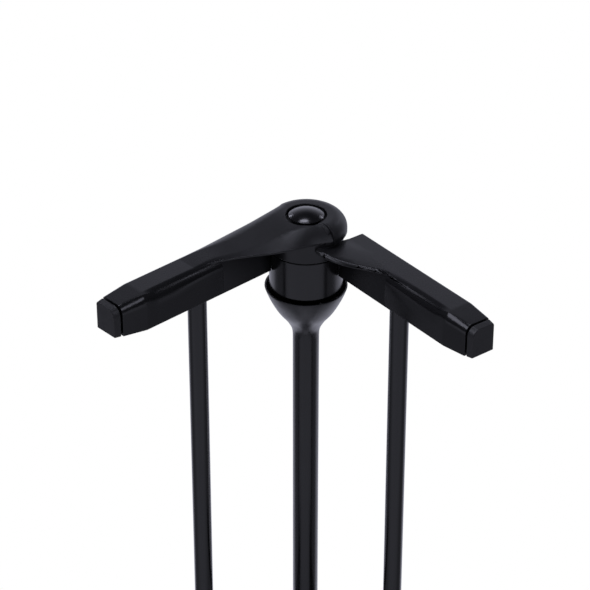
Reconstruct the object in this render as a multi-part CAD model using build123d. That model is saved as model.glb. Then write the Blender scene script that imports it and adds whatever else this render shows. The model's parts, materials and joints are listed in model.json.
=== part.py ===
from build123d import *
import math
import os

# A folding music stand: a desk of two wings that swing on a flared spine, on a tilting, telescopic
# mast with a folding tripod. Millimetres, +Z up, floor at zero, reader on the -Y side.

# Footprint: the three feet set it, so the mast stands a quarter of the reach behind its centre
LEG_REACH = 270.0
MAST_Y = LEG_REACH / 4
LEG_ANGLES = {"front": -90.0, "right": 30.0, "left": 150.0}

# Fits: running clearance between moving pieces, and the hair's breadth round seated ones
RUN = 0.05
SEAT = 0.02

# Tripod: hub, legs, pins and feet
CAP_LOW, HUB_LOW, HUB_TOP = 52.0, 60.0, 110.0
HUB_R = 24.0
TUBE_SEAT = 66.0
LEG_PIVOT_R, LEG_PIVOT_Z = 36.0, 84.0
LEG_WIDTH, LEG_EYE_R = 14.0, 10.0
CLEVIS_GAP, CLEVIS_WALL, CLEVIS_R = 0.2, 5.0, 12.0
LEG_PIN_R, LEG_PIN_HEAD_R = 3.0, 4.5
FOOT_R, FOOT_H = 12.0, 12.0
FOOT_PEG_R = 4.0

# Mast: outer tube, inner tube and the clamp between them
OUTER_R, OUTER_BORE, OUTER_TOP = 12.5, 11.0, 440.0
OUTER_END_R = 12.3
COLLAR_R, COLLAR_LOW, COLLAR_TOP = 18.0, 415.0, 464.0
CLAMP_Z = 452.0
CLAMP_SCREW_R = 3.0
INNER_R, INNER_BORE = 10.0, 8.5
INNER_LOW, INNER_TOP = 120.0, 575.0
CLAMP_BOSS_END = COLLAR_R + 9
KNOB_R, KNOB_NECK_R, KNOB_NECK, KNOB_GRIP, KNOB_LOBES = 15.0, 9.0, 6.0, 15.0, 6
KNOB_GAP, KNOB_SOCKET = 0.3, 13.0
CLAMP_KNOB_X = CLAMP_BOSS_END + KNOB_GAP
CLAMP_SCREW_END = CLAMP_KNOB_X + KNOB_SOCKET

# Tilt joint: a tongue on the mast between the two ears of the spine's yoke
TILT_Z = 600.0
TONGUE_R, TONGUE_HALF = 13.5, 5.3
EAR_R, EAR_IN, EAR_OUT = 14.0, 6.3, 12.3
TILT_BOLT_R = 4.0
YOKE_LOW, YOKE_TOP = 616.0, 650.0
TILT_KNOB_X = EAR_OUT + KNOB_GAP
TILT_BOLT_END = TILT_KNOB_X + KNOB_SOCKET

# Spine tube, and its flared cup as radius against depth below the rim
RIM_Z = 960.0
SPINE_LOW = 622.5
SPINE_R, SPINE_BORE = 9.0, 7.5
CUP_PROFILE = [
    (28.2, 0.0), (26.4, -5.2), (22.0, -14.5), (18.7, -20.0), (13.8, -26.4), (10.6, -32.0), (SPINE_R, -41.0)
]
CUP_WALL = 1.3

# Hinge stack on the spine, as heights above the cup's rim
BARREL_R = 24.9
BARREL_LOW, BARREL_TOP, BARREL_ROUND = 1.1, 30.1, 0.6
KNUCKLE_LOW, KNUCKLE_TOP = 30.4, 44.5
SKIRT_LOW, EYE_LOW, EYE_WEB_TOP, EYE_TOP = 42.3, 44.8, 50.0, 54.2
EYE_R, EYE_ROLL = 27.4, (9.6, 9.2)
HUB_CLEAR_R = 25.4
PIN_LOW, PIN_TOP, PIN_R, PIN_BORE = 8.0, 51.4, 8.0, 5.0
GROOVE_R, RING_R, RING_THICK = 7.2, 9.1, 1.0
WASHER_SEAT = 0.8

# Push button and the lock disc that it carries
BUTTON_R, BUTTON_HOLE_R = 11.9, 13.9
BUTTON_LOW, BUTTON_EDGE, BUTTON_CROWN = 53.2, 53.9, 57.3
BUTTON_TRAVEL = 3.0
SPRING_LOW, STEM_LOW = 20.0, 30.0
CROSS_PIN_Z, CROSS_PIN_R = 41.15, 1.5
LOCK_CAVITY_R, LOCK_CAVITY_LOW = 19.3, 36.3

# Arms, in a wing's own axes: along (from the hinge), lateral (towards the back) and height above the rim
RIGHT, LEFT = 1, -1
HALF_ANGLE = 42.35
ARM_FRONT, ARM_BACK = 8.8, 31.5
ARM_LOW = {RIGHT: 14.5, LEFT: 16.4}
ARM_TOP = {RIGHT: 38.5, LEFT: 41.4}
ARM_ROOT = {RIGHT: 21.8, LEFT: 14.0}
NOSE_START, NOSE_END = 131.5, 149.6
NOSE_LIFT = {RIGHT: 0.9, LEFT: 2.2}
BAND_W, BAND_H, BACK_ROUND = 3.4, 7.0, 1.6
PLATE_THICK, PLATE_RISE, PLATE_BEND = 2.6, 3.6, 50.0
SCOOP_END, SCOOP_SLOPE = 72.0, 0.2
COVER_BACK_LOW = 39.8
LEFT_COVER = [
    # along, front, back, low, top, front slope (width, height), back roll (width, height)
    (0.0, -26.6, EYE_R, SKIRT_LOW, EYE_TOP, (11.4, 9.2), EYE_ROLL),
    (12.0, -22.0, 27.7, 43.9, 53.6, (12.6, 8.1), (12.5, 8.5)),
    (24.0, -18.6, 28.5, EYE_LOW, 51.4, (14.4, 5.3), (13.0, 6.7)),
    (36.0, -13.8, 29.7, 44.6, 48.3, (13.8, 2.5), (12.6, 4.7)),
    (48.0, -5.0, 30.6, 43.4, 45.4, (9.3, 0.8), (10.2, 3.1)),
    (60.0, 4.8, 31.0, 41.6, 43.3, (6.0, 0.5), (6.0, 1.9)),
    (72.0, 11.3, 31.2, 40.4, 42.2, (3.4, 0.4), (2.8, 1.5)),
    (84.0, 12.8, 31.1, 39.8, 41.5, (2.5, 0.4), (1.9, 1.1)),
    (96.0, 13.5, 30.8, 39.4, 41.0, (2.0, 0.3), (1.5, 0.6)),
]

# Upright bars, and the ledge arms that join their lower ends to the spine
BAR_R, BAR_BORE = 6.45, 5.25
BAR_ALONG = {RIGHT: 74.0, LEFT: 79.5}
BAR_LATERAL = (ARM_FRONT + ARM_BACK) / 2
BAR_TOP = 28.8
GRUB_R, GRUB_Z = 2.0, 22.0
LEDGE_LOW, LEDGE_TOP, LEDGE_ROOT = -300.0, -284.0, 30.0
LEDGE_RING_R, LEDGE_RING_H, LEDGE_BUSH_R = 20.0, 7.8, 11.0
SHELF_FROM, SHELF_TO, SHELF_THICK = 48.0, 148.0, 3.0
LIP_NEAR, LIP_FAR, LIP_THICK, LIP_TOP = -1.5, -6.0, 3.0, -283.0
LEDGE_COLLAR_R, LEDGE_COLLAR_H, LEDGE_COLLAR_GAP = 16.0, 8.0, 0.3

# Pull-out slides in the arms' noses, with an end cap each
SLOT_START, SLIDE_START = 92.0, 100.0
SLOT_L, SLOT_Z = (13.2, 27.2), (18.9, 31.1)
SLIDE_PLAY = 0.2
END_GAP, END_CAP_LEN, END_SOCKET = 1.5, 5.0, 3.0


def rod(radius, low, high):
    """Upright cylinder between two heights."""
    return Pos(0, 0, low) * Cylinder(radius, high - low, align=(Align.CENTER, Align.CENTER, Align.MIN))


def ring(outer, inner, low, high):
    """Upright tube between two heights."""
    return rod(outer, low, high) - rod(inner, low - 1, high + 1)


def rod_x(radius, x0, x1, height=0.0):
    """Cylinder along X at a height."""
    return Pos(0, 0, height) * Rot(0, 90, 0) * rod(radius, x0, x1)


def rod_y(radius, y0, y1, x=0.0, z=0.0):
    """Cylinder along Y through a point of the XZ plane."""
    return Pos(x, 0, z) * Rot(-90, 0, 0) * rod(radius, y0, y1)


def block(x0, x1, y0, y1, z0, z1):
    """Box between two corners."""
    centre = Pos((x0 + x1) / 2, (y0 + y1) / 2, (z0 + z1) / 2)
    return centre * Box(abs(x1 - x0), abs(y1 - y0), abs(z1 - z0))


def turned(points):
    """Solid of revolution about Z from a closed outline of (radius, height) points."""
    return revolve(Plane.XZ * make_face(Polyline(*points, close=True)), Axis.Z)


def slab(points, low, high):
    """Flat plate from a closed plan outline."""
    return extrude(Pos(0, 0, low) * make_face(Polyline(*points, close=True)), high - low, dir=(0, 0, 1))


# Tripod

def base_hub():
    """Cast spider: a socket for the outer tube and a clevis for each leg."""
    shoulder, lip = (HUB_R, HUB_TOP - 14), (OUTER_R + 3, HUB_TOP)
    hub = turned([(0, HUB_LOW), (HUB_R, HUB_LOW), shoulder, lip, (0, HUB_TOP)])
    inner = LEG_WIDTH / 2 + CLEVIS_GAP
    outer = inner + CLEVIS_WALL
    for angle in LEG_ANGLES.values():
        for side in (-1, 1):
            low_z, high_z = LEG_PIVOT_Z - CLEVIS_R, LEG_PIVOT_Z + CLEVIS_R
            wall = block(HUB_R - 8, LEG_PIVOT_R, side * inner, side * outer, low_z, high_z)
            y0, y1 = sorted((side * inner, side * outer))
            wall += rod_y(CLEVIS_R, y0, y1, LEG_PIVOT_R, LEG_PIVOT_Z)
            wall -= rod_y(LEG_PIN_R + SEAT, y0 - 1, y1 + 1, LEG_PIVOT_R, LEG_PIVOT_Z)
            hub += Rot(0, 0, angle) * wall
    hub -= rod(OUTER_END_R + SEAT, TUBE_SEAT, HUB_TOP + 1)
    return hub - rod(2.5 + SEAT, HUB_LOW - 1, TUBE_SEAT + 1)


def base_cap():
    rim, bevel = HUB_R - 2, 3.0
    cap = turned([(0, CAP_LOW), (rim - bevel, CAP_LOW), (rim, CAP_LOW + bevel), (rim, HUB_LOW), (0, HUB_LOW)])
    return cap - rod(2.5 + SEAT, CAP_LOW - 1, HUB_LOW + 1)


def base_screw():
    return rod(5.0, CAP_LOW - 3, CAP_LOW) + rod(2.5, CAP_LOW - 1, TUBE_SEAT - 0.5)


def leg(angle):
    """One leg: an eye in the hub's clevis and a tapering bar down to a peg in its foot."""
    eye_x, eye_z = LEG_PIVOT_R, LEG_PIVOT_Z
    heel, toe = LEG_REACH - FOOT_R + 1, LEG_REACH + FOOT_R - 1
    side_view = make_face(Polyline(
        (eye_x + 2.9, 0, eye_z + 9.55), (LEG_REACH, 0, 29), (toe, 0, 22), (toe, 0, FOOT_H), (heel, 0, FOOT_H),
        (eye_x - 2.9, 0, eye_z - 9.55), close=True,
    ))
    half = LEG_WIDTH / 2
    bar = extrude(Pos(0, half, 0) * side_view, LEG_WIDTH, dir=(0, -1, 0))
    bar += rod_y(LEG_EYE_R, -half, half, eye_x, eye_z)
    bar -= rod_y(LEG_PIN_R + RUN, -half - 1, half + 1, eye_x, eye_z)
    bar += Pos(LEG_REACH, 0, 0) * rod(FOOT_PEG_R, 4, FOOT_H + 1)
    return Rot(0, 0, angle) * bar


def foot(angle):
    pad = turned([(0, 0), (FOOT_R - 1.5, 0), (FOOT_R, 1.5), (FOOT_R, FOOT_H), (0, FOOT_H)])
    pad -= rod(FOOT_PEG_R + SEAT, 3.9, FOOT_H + 1)
    return Rot(0, 0, angle) * Pos(LEG_REACH, 0, 0) * pad


def leg_pins():
    """Three riveted pins, one through each clevis."""
    reach = LEG_WIDTH / 2 + CLEVIS_GAP + CLEVIS_WALL + RUN
    pin = rod_y(LEG_PIN_R, -reach, reach, LEG_PIVOT_R, LEG_PIVOT_Z)
    for end in (-1, 1):
        y0, y1 = sorted((end * reach, end * (reach + 1.4)))
        pin += rod_y(LEG_PIN_HEAD_R, y0, y1, LEG_PIVOT_R, LEG_PIVOT_Z)
    return Compound(children=[Rot(0, 0, angle) * pin for angle in LEG_ANGLES.values()])


# Mast

def outer_tube():
    """Lower tube, turned down where the hub and the clamp collar hold it."""
    tube = ring(OUTER_R, OUTER_BORE, TUBE_SEAT + SEAT, OUTER_TOP)
    tube -= ring(OUTER_R + 1, OUTER_END_R, TUBE_SEAT - 1, HUB_TOP)
    return tube - ring(OUTER_R + 1, OUTER_END_R, COLLAR_LOW, OUTER_TOP + 1)


def inner_tube():
    return ring(INNER_R, INNER_BORE, INNER_LOW, INNER_TOP)


def guide_bush():
    """Sleeve on the inner tube's foot that runs in the outer tube."""
    sleeve = ring(OUTER_BORE - RUN, INNER_R + SEAT, INNER_LOW - SEAT, INNER_LOW + 30)
    return sleeve + ring(OUTER_BORE - RUN, INNER_BORE - 1, INNER_LOW - 3, INNER_LOW - SEAT)


def clamp_collar():
    collar = turned([
        (0, COLLAR_LOW), (COLLAR_R - 2, COLLAR_LOW), (COLLAR_R, COLLAR_LOW + 2), (COLLAR_R, COLLAR_TOP - 3),
        (COLLAR_R - 3, COLLAR_TOP), (0, COLLAR_TOP),
    ])
    collar += rod_x(KNOB_NECK_R, COLLAR_R - 4, CLAMP_BOSS_END, CLAMP_Z)
    collar -= rod(OUTER_END_R + SEAT, COLLAR_LOW - 1, OUTER_TOP + SEAT)
    collar -= rod(INNER_R + RUN, OUTER_TOP - 1, COLLAR_TOP + 1)
    return collar - rod_x(CLAMP_SCREW_R + RUN, INNER_R - 1, CLAMP_BOSS_END + 1, CLAMP_Z)


def clamp_screw():
    return rod_x(CLAMP_SCREW_R, INNER_R + 0.15, CLAMP_SCREW_END, CLAMP_Z)


def lobed_knob(start, bore, bore_end, height):
    """Hand knob along X: a short neck, then a lobed grip."""
    grip = start + KNOB_NECK
    knob = rod_x(KNOB_NECK_R, start, grip) + rod_x(KNOB_R, grip, grip + KNOB_GRIP)
    dip_r, dip_out = 5.0, KNOB_R + 2.4
    for lobe in range(KNOB_LOBES):
        turn = math.radians(360 / KNOB_LOBES * lobe)
        dip = Pos(0, dip_out * math.cos(turn), dip_out * math.sin(turn))
        knob -= dip * rod_x(dip_r, grip - 1, grip + KNOB_GRIP + 1)
    return Pos(0, 0, height) * (knob - rod_x(bore, start - 1, bore_end))


# Tilt joint

def tilt_tongue():
    """Plug in the inner tube with a flat tongue above it."""
    tongue = rod_x(TONGUE_R, -TONGUE_HALF, TONGUE_HALF, TILT_Z)
    tongue += block(-TONGUE_HALF, TONGUE_HALF, -TONGUE_R, TONGUE_R, INNER_TOP + 5, TILT_Z)
    tongue += rod(INNER_R + 2, INNER_TOP + SEAT, INNER_TOP + 6)
    tongue += rod(INNER_BORE - RUN, INNER_TOP - 30, INNER_TOP + 1)
    return tongue - rod_x(TILT_BOLT_R + RUN, -20, 20, TILT_Z)


def tilt_yoke():
    """Socket for the spine tube with an ear on each side of the tongue."""
    shoulder, lip = (EAR_R, YOKE_TOP - 2), (EAR_R - 2, YOKE_TOP)
    yoke = turned([(0, YOKE_LOW), (EAR_R, YOKE_LOW), shoulder, lip, (0, YOKE_TOP)])
    for side in (-1, 1):
        x0, x1 = sorted((side * EAR_IN, side * EAR_OUT))
        yoke += rod_x(EAR_R, x0, x1, TILT_Z) + block(x0, x1, -EAR_R, EAR_R, TILT_Z, YOKE_LOW + 1)
    yoke -= rod(SPINE_R + SEAT, SPINE_LOW - SEAT, YOKE_TOP + 1)
    return yoke - rod_x(TILT_BOLT_R + RUN, -20, 20, TILT_Z)


def tilt_bolt():
    head = rod_x(8.0, -EAR_OUT - 4, -EAR_OUT - RUN, TILT_Z)
    return head + rod_x(TILT_BOLT_R, -EAR_OUT - 1, TILT_BOLT_END, TILT_Z)


def friction_washers():
    discs = []
    for side in (-1, 1):
        x0, x1 = sorted((side * (TONGUE_HALF + RUN), side * (EAR_IN - RUN)))
        discs.append(rod_x(12.0, x0, x1, TILT_Z) - rod_x(TILT_BOLT_R + 0.1, -20, 20, TILT_Z))
    return Compound(children=discs)


# Spine and hinge stack, in heights above the cup's rim

def spine_tube():
    """Steel tube whose top is flared into a thin cup."""
    outer = CUP_PROFILE
    inner = [(max(radius - CUP_WALL, SPINE_BORE), depth) for radius, depth in CUP_PROFILE[:-1]]
    inner.append((SPINE_BORE, CUP_PROFILE[-1][1]))
    end = SPINE_LOW - RIM_Z
    edges = [
        Spline(*outer, tangents=[(-0.28, -1), (0, -1)]),
        Line(outer[-1], (SPINE_R, end)),
        Line((SPINE_R, end), (SPINE_BORE, end)),
        Line((SPINE_BORE, end), inner[-1]),
        Spline(*reversed(inner), tangents=[(0, 1), (0.28, 1)]),
        Line(inner[0], outer[0]),
    ]
    return revolve(Plane.XZ * make_face(edges), Axis.Z)


def hub_barrel():
    """Fixed lower knuckle: a drum on a neck, with a spigot bonded into the spine tube."""
    spigot_r, neck_r = SPINE_BORE - RUN, 16.0
    drum = turned([
        (0, -60), (spigot_r, -60), (spigot_r, -16), (neck_r, -6), (neck_r, BARREL_LOW),
        (BARREL_R - BARREL_ROUND, BARREL_LOW), (BARREL_R, BARREL_LOW + BARREL_ROUND),
        (BARREL_R, BARREL_TOP - BARREL_ROUND), (BARREL_R - BARREL_ROUND, BARREL_TOP), (0, BARREL_TOP),
    ])
    drum -= rod(PIN_R + SEAT, PIN_LOW, BARREL_TOP + 1)
    return drum - rod(20.0, BARREL_TOP - WASHER_SEAT, BARREL_TOP + 1)


def lower_washer():
    return ring(19.8, PIN_R + 0.1, BARREL_TOP - WASHER_SEAT + SEAT, KNUCKLE_LOW - RUN)


def upper_washer():
    return ring(23.8, 20.6, KNUCKLE_TOP - WASHER_SEAT + SEAT, EYE_LOW - RUN)


def pivot_pin():
    """Hollow hinge pin with a clip groove and a slot for the button's cross pin."""
    play = 0.1
    pin = rod(PIN_R, PIN_LOW + SEAT, PIN_TOP) - rod(PIN_BORE, SPRING_LOW, PIN_TOP + 1)
    pin -= ring(PIN_R + 1, GROOVE_R, EYE_WEB_TOP, EYE_WEB_TOP + RING_THICK + play)
    slot_low = CROSS_PIN_Z - CROSS_PIN_R - BUTTON_TRAVEL - play
    slot_high = CROSS_PIN_Z + CROSS_PIN_R + play
    half = CROSS_PIN_R + play
    return pin - block(-PIN_R - 1, PIN_R + 1, -half, half, slot_low, slot_high)


def retaining_ring():
    low = EYE_WEB_TOP + RUN
    clip = ring(RING_R, GROOVE_R + SEAT, low, low + RING_THICK)
    return clip - block(0, RING_R + 1, -2, 2, low - 1, low + 2)


def push_button():
    """Domed cap on a long stem; the dome is hollow below so that it clears the pin when pressed."""
    rise = BUTTON_CROWN - BUTTON_EDGE
    sphere_r = (BUTTON_R**2 + rise**2) / (2 * rise)
    dome = rod(BUTTON_R, BUTTON_LOW, BUTTON_CROWN) & (Pos(0, 0, BUTTON_CROWN - sphere_r) * Sphere(sphere_r))
    hollow_top = PIN_TOP + BUTTON_TRAVEL + 0.2
    cap = dome - rod(RING_R + 0.3, BUTTON_LOW - 1, hollow_top)
    stem = rod(PIN_BORE - RUN, STEM_LOW, hollow_top + 0.5)
    return cap + stem - rod_x(CROSS_PIN_R + SEAT, -PIN_R, PIN_R, CROSS_PIN_Z)


def lock_cross_pin():
    return rod_x(CROSS_PIN_R, -14, 14, CROSS_PIN_Z)


def lock_disc():
    return ring(18.8, PIN_R + 0.1, CROSS_PIN_Z + CROSS_PIN_R + RUN, EYE_LOW - 0.1)


def button_spring():
    """Return spring below the stem: a helix of round wire."""
    wire_r, coil_r, turns = 0.45, 4.2, 6
    low, high = SPRING_LOW + wire_r + RUN, STEM_LOW - wire_r - RUN
    path = Helix(pitch=(high - low) / turns, height=high - low, radius=coil_r, center=(0, 0, low))
    section = Plane(origin=path @ 0, z_dir=path % 0) * Circle(wire_r)
    return sweep(section, path=path)


# Arms, in a wing's own axes with the side as the sign of the lateral axis: 1 right, -1 left

def wall_arc(edge, inward, height, top):
    """Low, middle and high point of an arc that leaves a wall upright and ends at a level top."""
    radius = (inward**2 + height**2) / (2 * abs(inward))
    half = math.atan2(height, radius - abs(inward)) / 2
    middle = edge + math.copysign(radius * (1 - math.cos(half)), inward)
    return (edge, top - height), (middle, top - height + radius * math.sin(half)), (edge + inward, top)


def roll_arc(edge, inward, height, top):
    """Low, middle and high point of an arc that leaves a flat top level and rolls down to an edge."""
    radius = (inward**2 + height**2) / (2 * height)
    half = math.asin(min(abs(inward) / radius, 1.0)) / 2
    middle = edge + inward - math.copysign(radius * math.sin(half), inward)
    return (edge, top - height), (middle, top - radius * (1 - math.cos(half))), (edge + inward, top)


def slope_arc(edge, inward, height, top, fullness=0.45):
    """As a roll, but nearly straight: 'fullness' is how much of the roll's bulge it keeps."""
    low, middle, high = roll_arc(edge, inward, height, top)
    halfway = ((low[0] + high[0]) / 2, (low[1] + high[1]) / 2)
    eased = [chord + fullness * (full - chord) for chord, full in zip(halfway, middle)]
    return low, tuple(eased), high


def section(arcs, station, side, front, back, low, top, front_curve, back_curve, back_low=None):
    """Cross-section of an arm: flat top, and a curve of (width, height) down to the front and back walls."""
    fronts = arcs[0](front, front_curve[0], front_curve[1], top)
    backs = arcs[1](back, -back_curve[0], back_curve[1], top)
    f_low, f_mid, f_high = [(station, side * lateral, z) for lateral, z in fronts]
    b_low, b_mid, b_high = [(station, side * lateral, z) for lateral, z in backs]
    foot_front = (station, side * front, low)
    foot_back = (station, side * back, low if back_low is None else back_low)
    return Face(Wire([
        Line(foot_front, f_low),
        ThreePointArc(f_low, f_mid, f_high),
        Line(f_high, b_high),
        ThreePointArc(b_high, b_mid, b_low),
        Line(b_low, foot_back),
        Line(foot_back, foot_front),
    ]))


ARM_ARCS, COVER_ARCS = (wall_arc, wall_arc), (slope_arc, roll_arc)


def tip_section(station, side, low, top, shrink=0.0):
    """Cross-section at the end of a nose, or smaller by 'shrink' all round."""
    return section(
        ARM_ARCS, station, side, ARM_FRONT + 1.9 + shrink, ARM_BACK - 1.4 - shrink,
        low + NOSE_LIFT[side] + shrink, top - 1.3 - shrink, (4.4, 6.2), (BACK_ROUND, BACK_ROUND),
    )


def arm_bar(side, root, low, top):
    """Straight box arm from its root to the end of its tapered nose."""
    shape = (side, ARM_FRONT, ARM_BACK, low, top, (BAND_W, BAND_H), (BACK_ROUND, BACK_ROUND))
    start, end = section(ARM_ARCS, root, *shape), section(ARM_ARCS, NOSE_START, *shape)
    return loft([start, end], ruled=True) + loft([end, tip_section(NOSE_END, side, low, top)], ruled=True)


def scoop(side, root, end, high):
    """Wedge cut out of the arm's front wall below its overhanging plate."""
    low = ARM_LOW[side]
    face, deep = side * (ARM_FRONT - 0.2), side * (ARM_FRONT + SCOOP_SLOPE * (high - low))
    outline = Polyline((root, face, low), (root, face, high), (root, deep, high), close=True)
    return extrude(make_face(outline), end - root, dir=(1, 0, 0))


def bar_place(side):
    return Pos(BAR_ALONG[side], side * BAR_LATERAL, 0)


def grub_hole(side, height):
    y0, y1 = sorted((side * (BAR_LATERAL + BAR_R), side * (ARM_BACK + 1)))
    return rod_y(GRUB_R + SEAT, y0, y1, BAR_ALONG[side], height)


def arm_pockets(side):
    """What is cut from a top arm: the slide's slot, the bar's socket and the grub screw's hole."""
    slot = block(SLOT_START, NOSE_END + 1, side * SLOT_L[0], side * SLOT_L[1], *SLOT_Z)
    socket = bar_place(side) * rod(BAR_R + SEAT, ARM_LOW[side] - 1, BAR_TOP + SEAT)
    return slot + socket + grub_hole(side, GRUB_Z)


def bent_slab(near, far, front, top):
    """Slab of the plate's thickness that climbs from its bend to 'near', most at 'front', not at the back."""
    low = top - PLATE_THICK
    ends = []
    for lateral, lift in ((front, PLATE_RISE), (BAR_LATERAL, 0.0)):
        upper = [(near, top + lift), (PLATE_BEND, top), (far, top)]
        lower = [(far, low), (PLATE_BEND, low), (near, low + lift)]
        ends.append(make_face(Polyline(*[(along, lateral, z) for along, z in upper + lower], close=True)))
    return loft(ends, ruled=True)


def right_arm():
    """Right wing's top arm: box with an overhanging plate that climbs to the middle knuckle."""
    root, low, top = ARM_ROOT[RIGHT], ARM_LOW[RIGHT], ARM_TOP[RIGHT]
    arm = arm_bar(RIGHT, root, low, top)
    arm -= scoop(RIGHT, root - 1, SCOOP_END, top - PLATE_THICK)
    tip, end = (24.0, -10.6), (SCOOP_END + 1, ARM_FRONT + BAND_W)
    near, far, inner = (root, tip[1] + 5), (root, BAR_LATERAL), (end[0], BAR_LATERAL)
    bends = [(33.4, -8.3), (43.9, -3.3), (55.4, 4.2), (62.4, 8.0)]
    front = Spline(tip, *bends, end, tangents=[(1, 0.2), (1, 0.16)])
    outline = make_face([front, Line(end, inner), Line(inner, far), Line(far, near), Line(near, tip)])
    plan = extrude(Pos(0, 0, low) * outline, EYE_TOP - low, dir=(0, 0, 1))
    arm += plan & bent_slab(root - 1, end[0] + 1, tip[1] - 1, top)
    arm -= rod(HUB_CLEAR_R, low - 5, (BARREL_TOP + KNUCKLE_LOW) / 2)
    arm += rod(BARREL_R, KNUCKLE_LOW, KNUCKLE_TOP)
    arm -= rod(PIN_R + RUN, KNUCKLE_LOW - 1, KNUCKLE_TOP + 1)
    arm -= rod(LOCK_CAVITY_R, LOCK_CAVITY_LOW, KNUCKLE_TOP + 1)
    arm -= ring(24.0, 20.4, KNUCKLE_TOP - WASHER_SEAT, KNUCKLE_TOP + 1)
    return arm - arm_pockets(RIGHT)


def eye_back():
    """Rounded back half of the eye, with a skirt that hangs round the middle knuckle."""
    low, middle, high = roll_arc(EYE_R, -EYE_ROLL[0], EYE_ROLL[1], EYE_TOP)
    skirt = [(HUB_CLEAR_R, EYE_LOW), (HUB_CLEAR_R, SKIRT_LOW), (EYE_R, SKIRT_LOW)]
    outline = [ThreePointArc(low, middle, high), Polyline(high, (0, EYE_TOP), (0, EYE_LOW), *skirt, low)]
    return Rot(0, 0, 90) * revolve(Plane.XZ * make_face(outline), Axis.Z, 180)


def left_arm():
    """Left wing's top arm: box under a cover that climbs and widens into the rounded eye."""
    cover = loft([section(COVER_ARCS, row[0], LEFT, *row[1:], COVER_BACK_LOW) for row in LEFT_COVER])
    root, low, top = ARM_ROOT[LEFT], ARM_LOW[LEFT], ARM_TOP[LEFT]
    box = arm_bar(LEFT, root, low, top)
    box -= scoop(LEFT, root - 1, SCOOP_END - 6, top + 1)
    web_low, web_end, web_front = 34.0, 70.0, ARM_FRONT + 6
    web_top = [(web_end, 0, 41.3), (60, 0, 42.6), (45, 0, 45.0), (30, 0, 47), (root, 0, 48)]
    profile = make_face(Polyline((root, 0, web_low), (web_end, 0, web_low), *web_top, close=True))
    web = extrude(Pos(0, -web_front, 0) * profile, ARM_BACK - web_front - 6, dir=(0, -1, 0))
    arm = cover + eye_back() + box + web
    arm -= rod(HUB_CLEAR_R, low - 5, EYE_LOW)
    arm -= rod(PIN_R + RUN, EYE_LOW - 1, EYE_TOP + 1)
    arm -= rod(BUTTON_HOLE_R, EYE_WEB_TOP, EYE_TOP + 1)
    return arm - arm_pockets(LEFT)


def upright_bar(side):
    return bar_place(side) * ring(BAR_R, BAR_BORE, LEDGE_LOW + 4, BAR_TOP)


def grub_screws(side):
    """Two grub screws that pinch the bar, one in the top arm and one in the ledge arm."""
    y0, y1 = sorted((side * (BAR_LATERAL + BAR_R + RUN), side * (ARM_BACK - 0.6)))
    heights = (GRUB_Z, (LEDGE_LOW + LEDGE_TOP) / 2)
    return Compound(children=[rod_y(GRUB_R, y0, y1, BAR_ALONG[side], height) for height in heights])


def ring_low(side):
    """Height of a ledge arm's ring: the right one is below, the left one above."""
    return LEDGE_LOW if side == RIGHT else LEDGE_TOP - LEDGE_RING_H


def ledge(side):
    """Ledge arm: a box arm with a shelf and lip for the pages, on a ring round the spine."""
    arm = arm_bar(side, LEDGE_ROOT, LEDGE_LOW, LEDGE_TOP)
    low = ring_low(side)
    reach = LEDGE_ROOT + 12
    neck = [(0, -14), (reach, ARM_FRONT + 1), (reach, ARM_BACK - 3), (0, LEDGE_RING_R - 1)]
    arm += slab([(along, side * lateral) for along, lateral in neck], low, low + LEDGE_RING_H)
    arm += rod(LEDGE_RING_R, low, low + LEDGE_RING_H)
    arm -= rod(LEDGE_BUSH_R + SEAT, low - 1, low + LEDGE_RING_H + 1)
    inside = ARM_FRONT + 2
    shelf = [(SHELF_FROM, inside), (SHELF_FROM, LIP_NEAR), (SHELF_TO, LIP_FAR), (SHELF_TO, inside)]
    arm += slab([(along, side * lateral) for along, lateral in shelf], LEDGE_LOW, LEDGE_LOW + SHELF_THICK)
    lip = [
        (SHELF_FROM, LIP_NEAR), (SHELF_TO, LIP_FAR), (SHELF_TO, LIP_FAR + LIP_THICK),
        (SHELF_FROM, LIP_NEAR + LIP_THICK),
    ]
    arm += slab([(along, side * lateral) for along, lateral in lip], LEDGE_LOW, LIP_TOP)
    arm -= bar_place(side) * rod(BAR_R + SEAT, LEDGE_LOW + 4 - SEAT, LEDGE_TOP + 1)
    return arm - grub_hole(side, (LEDGE_LOW + LEDGE_TOP) / 2)


def ledge_bush(side):
    low = ring_low(side)
    return ring(LEDGE_BUSH_R, SPINE_R + RUN, low, low + LEDGE_RING_H)


def ledge_collar():
    """Fixed collar on the spine that carries the two ledge rings."""
    high = LEDGE_LOW - LEDGE_COLLAR_GAP
    collar = ring(LEDGE_COLLAR_R, SPINE_R + SEAT, high - LEDGE_COLLAR_H, high)
    return collar - rod_y(GRUB_R + SEAT, SPINE_R, LEDGE_COLLAR_R + 1, 0, high - LEDGE_COLLAR_H / 2)


def collar_screw():
    height = LEDGE_LOW - LEDGE_COLLAR_GAP - LEDGE_COLLAR_H / 2
    return rod_y(GRUB_R, SPINE_R + RUN, LEDGE_COLLAR_R - 0.6, 0, height)


def end_slide(side):
    """Slide that runs in the arm's slot and carries the end cap."""
    near, far = side * (SLOT_L[0] + SLIDE_PLAY), side * (SLOT_L[1] - SLIDE_PLAY)
    stop = NOSE_END + END_GAP + END_SOCKET
    return block(SLIDE_START, stop, near, far, SLOT_Z[0] + SLIDE_PLAY, SLOT_Z[1] - SLIDE_PLAY)


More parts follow.
